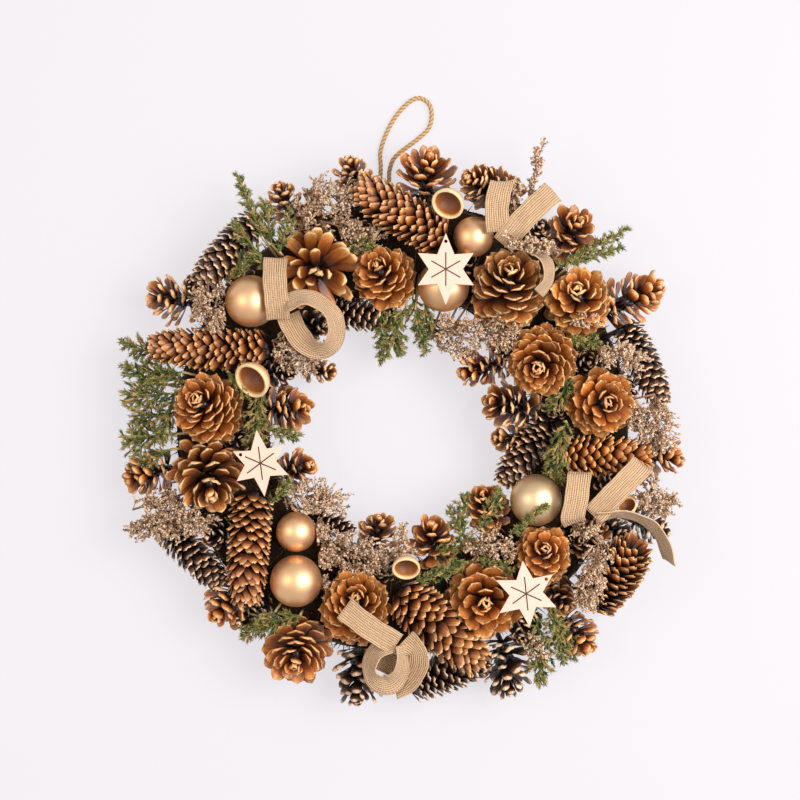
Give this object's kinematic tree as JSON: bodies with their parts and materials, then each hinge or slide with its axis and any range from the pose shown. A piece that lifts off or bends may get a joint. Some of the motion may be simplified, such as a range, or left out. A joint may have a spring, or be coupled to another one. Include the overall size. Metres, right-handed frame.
{
  "type": "christmas wreath",
  "caption": "Round flat-backed wreath of open and long cones with matt gold baubles, wooden stars, seed cups, jute bows, juniper, dried sea lavender and a jute hanging loop.",
  "frame": {"origin": "middle of the wreath's footprint on its flat back", "axes": "+Z out of the wreath's face, +Y towards the hanging loop, +X to the right as seen from the front"},
  "size_m": [0.3618, 0.3965, 0.0733],
  "materials": {
    "straw_base": "rough bound straw",
    "cone_scales": "dry woody scales, brown with golden tips",
    "matt_gold": "matt gold metallic paint",
    "pale_wood": "thin pale plywood with burnt lines",
    "seed_shell": "satin dried seed shell",
    "jute": "open weave jute",
    "sea_lavender": "dried grey-brown florets",
    "juniper": "green needles with dry tan tips"
  },
  "bodies": {
    "root": {"base_ring": "straw_base", "cord_knot": "jute", "jute_hanging_loop": "jute", "bauble_large_1": "matt_gold", "bauble_large_2": "matt_gold", "bauble_large_3": "matt_gold", "bauble_large_4": "matt_gold", "bauble_small_1": "matt_gold", "bauble_small_2": "matt_gold", "wooden_star_1": "pale_wood", "wooden_star_2": "pale_wood", "wooden_star_3": "pale_wood", "seed_cup_1": "seed_shell", "seed_cup_2": "seed_shell", "seed_cup_3": "seed_shell", "jute_bow_1": "jute", "jute_bow_2": "jute", "jute_bow_3": "jute", "jute_bow_4": "jute", "cones_01": "cone_scales", "cones_02": "cone_scales", "cones_03": "cone_scales", "cones_04": "cone_scales", "cones_05": "cone_scales", "cones_06": "cone_scales", "cones_07": "cone_scales", "cones_08": "cone_scales", "cones_09": "cone_scales", "cones_10": "cone_scales", "cones_11": "cone_scales", "cones_12": "cone_scales", "cones_13": "cone_scales", "cones_14": "cone_scales", "cones_15": "cone_scales", "cones_16": "cone_scales", "cones_17": "cone_scales", "cones_18": "cone_scales", "cones_19": "cone_scales", "sea_lavender_01": "sea_lavender", "sea_lavender_02": "sea_lavender", "sea_lavender_03": "sea_lavender", "sea_lavender_04": "sea_lavender", "sea_lavender_05": "sea_lavender", "sea_lavender_06": "sea_lavender", "sea_lavender_07": "sea_lavender", "sea_lavender_08": "sea_lavender", "sea_lavender_09": "sea_lavender", "sea_lavender_10": "sea_lavender", "sea_lavender_11": "sea_lavender", "sea_lavender_12": "sea_lavender", "sea_lavender_13": "sea_lavender", "juniper_01": "juniper", "juniper_02": "juniper", "juniper_03": "juniper", "juniper_04": "juniper", "juniper_05": "juniper", "juniper_06": "juniper", "juniper_07": "juniper", "juniper_08": "juniper", "juniper_09": "juniper"}
  },
  "joints": []
}
